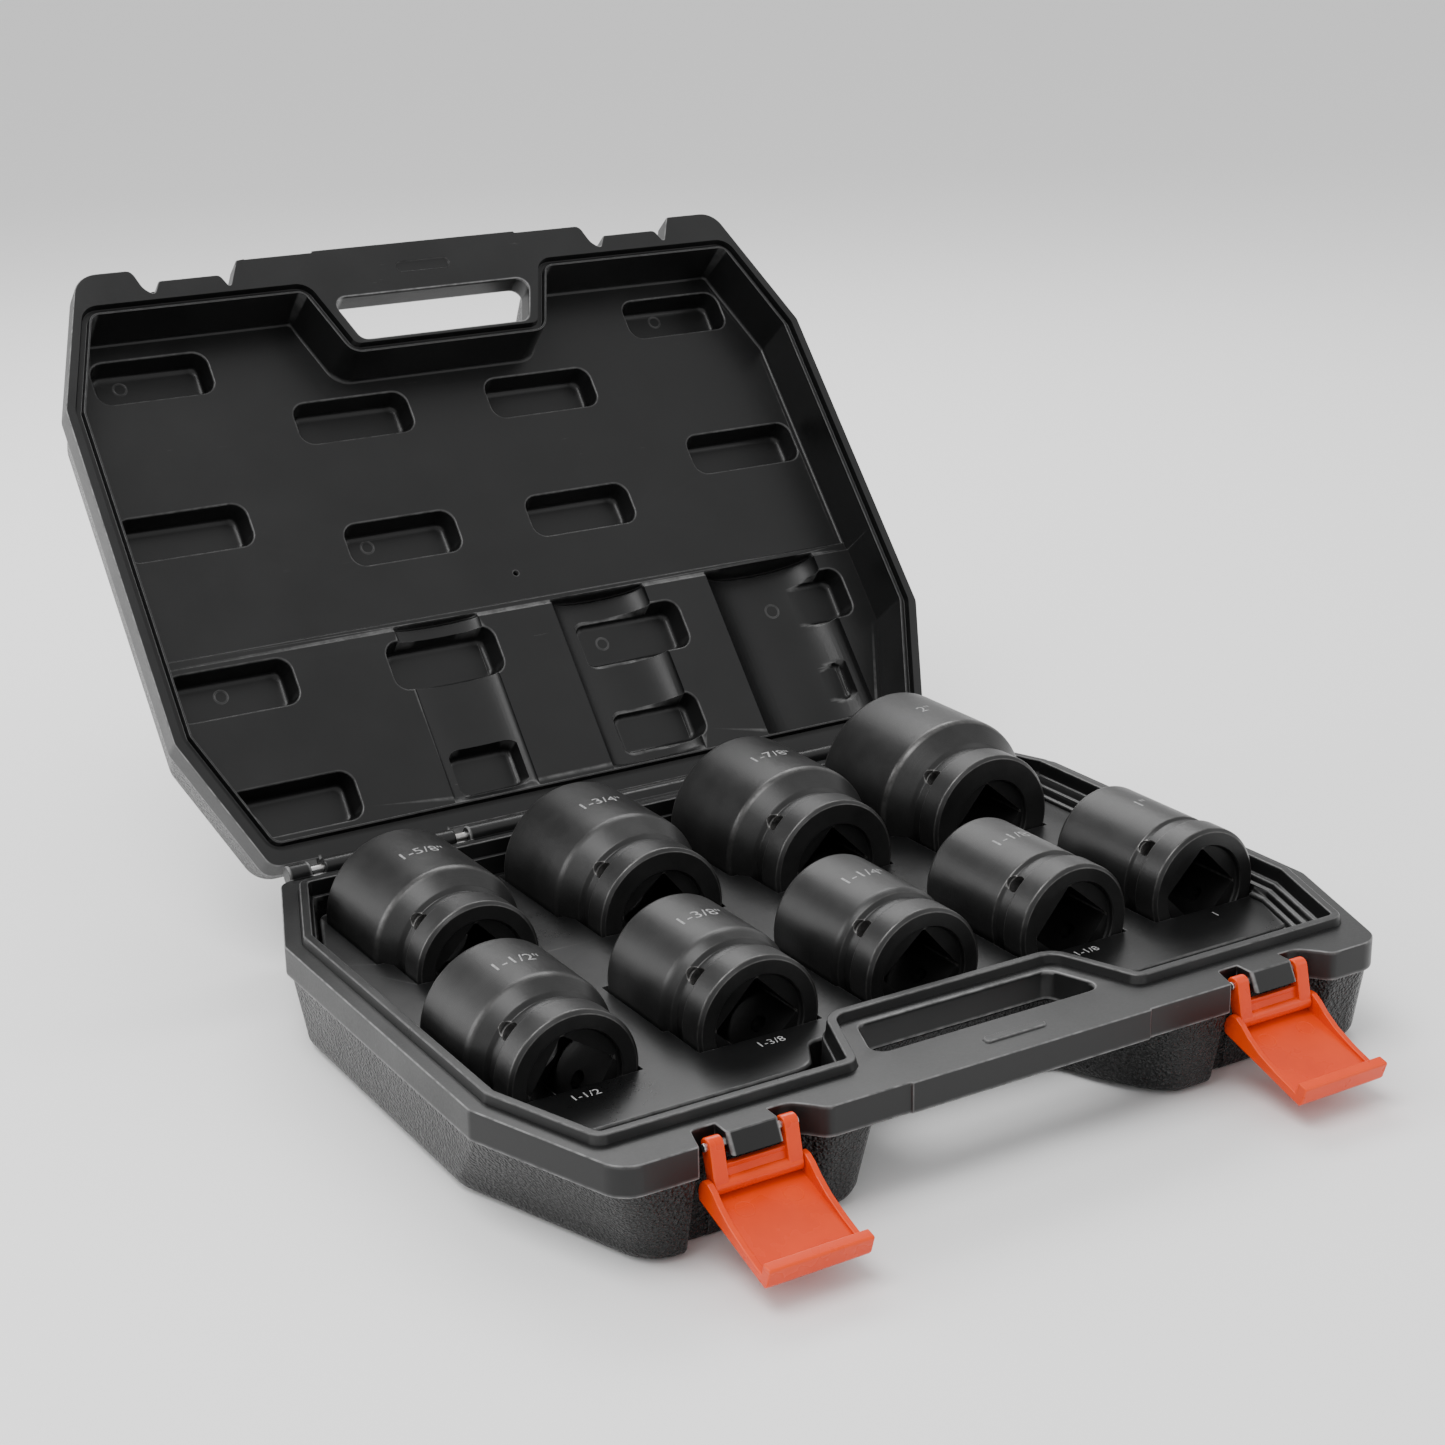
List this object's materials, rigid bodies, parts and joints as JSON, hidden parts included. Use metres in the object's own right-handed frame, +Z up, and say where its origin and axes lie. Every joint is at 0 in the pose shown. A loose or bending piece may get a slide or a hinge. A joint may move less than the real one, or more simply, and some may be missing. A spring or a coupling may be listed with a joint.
{
  "type": "impact socket set in case",
  "caption": "Large impact sockets with square drive holes, laid in the moulded tray of a hinged carrying case with a handle opening and two front latches.",
  "frame": {"origin": "on the floor under the middle of the case's rim outline, at the case's flat bottom", "axes": "+X along the hinge to the right, +Y back towards the hinge, +Z up"},
  "size_m": [0.376, 0.5436, 0.2692],
  "materials": {
    "case_plastic": "moulded, pebbled on the walls and satin on the rim",
    "tray_plastic": "smooth satin moulding",
    "latch_plastic": "glossy injection moulding",
    "socket_steel": "dark phosphate coating, satin, with burnished edges",
    "pin_steel": "plain drawn wire"
  },
  "bodies": {
    "case_base": {"base_shell": "case_plastic", "base_tray": "tray_plastic", "hinge_pin_left": "pin_steel", "hinge_pin_right": "pin_steel", "latch_pin_left": "pin_steel", "latch_pin_right": "pin_steel"},
    "lid": {"lid_shell": "case_plastic", "lid_liner": "tray_plastic"},
    "link_left": {"latch_link_left": "latch_plastic"},
    "lever_left": {"latch_lever_left": "latch_plastic"},
    "link_right": {"latch_link_right": "latch_plastic"},
    "lever_right": {"latch_lever_right": "latch_plastic"},
    "socket_1_1_2": {"socket_1_1_2_in": "socket_steel"},
    "socket_1_3_8": {"socket_1_3_8_in": "socket_steel"},
    "socket_1_1_4": {"socket_1_1_4_in": "socket_steel"},
    "socket_1_1_8": {"socket_1_1_8_in": "socket_steel"},
    "socket_1": {"socket_1_in": "socket_steel"},
    "socket_1_5_8": {"socket_1_5_8_in": "socket_steel"},
    "socket_1_3_4": {"socket_1_3_4_in": "socket_steel"},
    "socket_1_7_8": {"socket_1_7_8_in": "socket_steel"},
    "socket_2": {"socket_2_in": "socket_steel"}
  },
  "joints": [
    {"name": "lid_hinge", "type": "hinge", "parent": "case_base", "child": "lid", "pos_m": [0, 0.1483, 0.045], "axis": [-1, 0, 0], "range_deg": [-130.4, 0]},
    {"name": "link_left_pivot", "type": "hinge", "parent": "case_base", "child": "link_left", "pos_m": [-0.1139, -0.139, 0.0408], "axis": [-1, 0, 0], "range_deg": [0, 45]},
    {"name": "lever_left_pivot", "type": "hinge", "parent": "link_left", "child": "lever_left", "pos_m": [-0.1139, -0.14257, 0.02747], "axis": [1, 0, 0], "range_deg": [-112, 0]},
    {"name": "link_right_pivot", "type": "hinge", "parent": "case_base", "child": "link_right", "pos_m": [0.1139, -0.139, 0.0408], "axis": [-1, 0, 0], "range_deg": [0, 45]},
    {"name": "lever_right_pivot", "type": "hinge", "parent": "link_right", "child": "lever_right", "pos_m": [0.1139, -0.14257, 0.02747], "axis": [1, 0, 0], "range_deg": [-112, 0]},
    {"name": "socket_1_1_2_lift", "type": "slide", "parent": "case_base", "child": "socket_1_1_2", "axis": [0, 0, 1], "range_m": [0, 0.09]},
    {"name": "socket_1_3_8_lift", "type": "slide", "parent": "case_base", "child": "socket_1_3_8", "axis": [0, 0, 1], "range_m": [0, 0.09]},
    {"name": "socket_1_1_4_lift", "type": "slide", "parent": "case_base", "child": "socket_1_1_4", "axis": [0, 0, 1], "range_m": [0, 0.09]},
    {"name": "socket_1_1_8_lift", "type": "slide", "parent": "case_base", "child": "socket_1_1_8", "axis": [0, 0, 1], "range_m": [0, 0.09]},
    {"name": "socket_1_lift", "type": "slide", "parent": "case_base", "child": "socket_1", "axis": [0, 0, 1], "range_m": [0, 0.09]},
    {"name": "socket_1_5_8_lift", "type": "slide", "parent": "case_base", "child": "socket_1_5_8", "axis": [0, 0, 1], "range_m": [0, 0.09]},
    {"name": "socket_1_3_4_lift", "type": "slide", "parent": "case_base", "child": "socket_1_3_4", "axis": [0, 0, 1], "range_m": [0, 0.09]},
    {"name": "socket_1_7_8_lift", "type": "slide", "parent": "case_base", "child": "socket_1_7_8", "axis": [0, 0, 1], "range_m": [0, 0.09]},
    {"name": "socket_2_lift", "type": "slide", "parent": "case_base", "child": "socket_2", "axis": [0, 0, 1], "range_m": [0, 0.09]}
  ]
}
